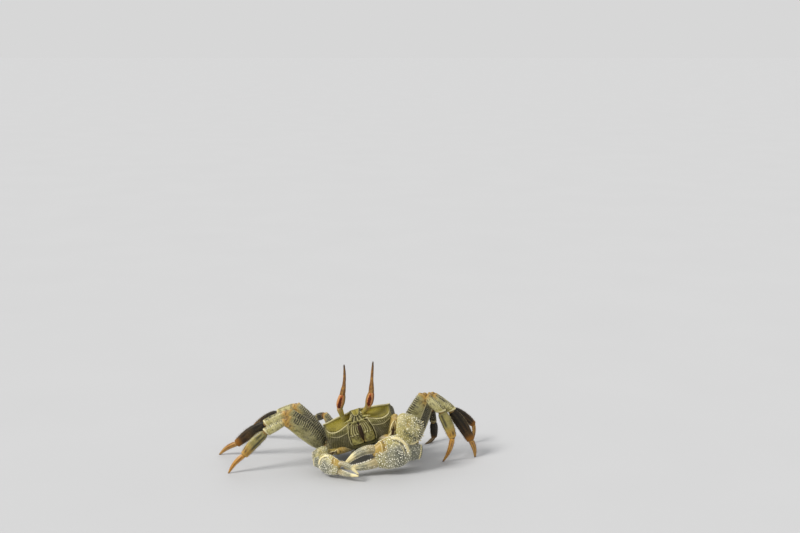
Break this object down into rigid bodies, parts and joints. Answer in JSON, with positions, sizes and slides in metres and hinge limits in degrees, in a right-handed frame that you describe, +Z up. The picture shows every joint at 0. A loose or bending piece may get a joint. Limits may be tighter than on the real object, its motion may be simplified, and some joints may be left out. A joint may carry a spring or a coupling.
{
  "type": "horned ghost crab model",
  "caption": "Still, life-size horned ghost crab rearing out of its burrow on bent legs, stalked eyes with long horns held upright, large claw folded across the front.",
  "frame": {"origin": "middle of the bounding box's underside, on the floor plane that the feet stand on", "axes": "+Z up, -Y the way the face looks, +X towards the crab's left side; the legs span furthest along X"},
  "size_m": [0.1764, 0.093, 0.0724],
  "materials": {
    "shell": "olive green shell, finely granular, with cream rims",
    "belly": "pale cream underside plates",
    "limb": "olive leg shell with dark cross stripes and orange joints",
    "foot": "orange brown leg tips",
    "claw": "cream and yellow granules on olive grey",
    "stalk": "smooth orange brown eyestalk and horn",
    "cornea": "wet glossy cornea, orange with a dark red middle"
  },
  "bodies": {
    "root": {"carapace": "shell", "sternum": "belly", "abdomen": "belly", "maxilliped_left": "shell", "antenna_left": "limb", "maxilliped_right": "shell", "antenna_right": "limb", "eyestalk_left": "stalk", "eye_left": "cornea", "horn_left": "stalk", "eyestalk_right": "stalk", "eye_right": "cornea", "horn_right": "stalk", "claw_left_merus": "limb", "claw_left_carpus": "claw", "claw_left_palm": "claw", "claw_left_finger": "claw", "claw_right_merus": "limb", "claw_right_carpus": "claw", "claw_right_palm": "claw", "claw_right_finger": "claw", "leg_left_1_merus": "limb", "leg_left_1_carpus": "limb", "leg_left_1_propodus": "limb", "leg_left_1_dactyl": "foot", "leg_left_2_merus": "limb", "leg_left_2_carpus": "limb", "leg_left_2_propodus": "limb", "leg_left_2_dactyl": "foot", "leg_left_3_merus": "limb", "leg_left_3_carpus": "limb", "leg_left_3_propodus": "limb", "leg_left_3_dactyl": "foot", "leg_left_4_merus": "limb", "leg_left_4_carpus": "limb", "leg_left_4_propodus": "limb", "leg_left_4_dactyl": "foot", "leg_right_1_merus": "limb", "leg_right_1_carpus": "limb", "leg_right_1_propodus": "limb", "leg_right_1_dactyl": "foot", "leg_right_2_merus": "limb", "leg_right_2_carpus": "limb", "leg_right_2_propodus": "limb", "leg_right_2_dactyl": "foot", "leg_right_3_merus": "limb", "leg_right_3_carpus": "limb", "leg_right_3_propodus": "limb", "leg_right_3_dactyl": "foot", "leg_right_4_merus": "limb", "leg_right_4_carpus": "limb", "leg_right_4_propodus": "limb", "leg_right_4_dactyl": "foot"}
  },
  "joints": []
}
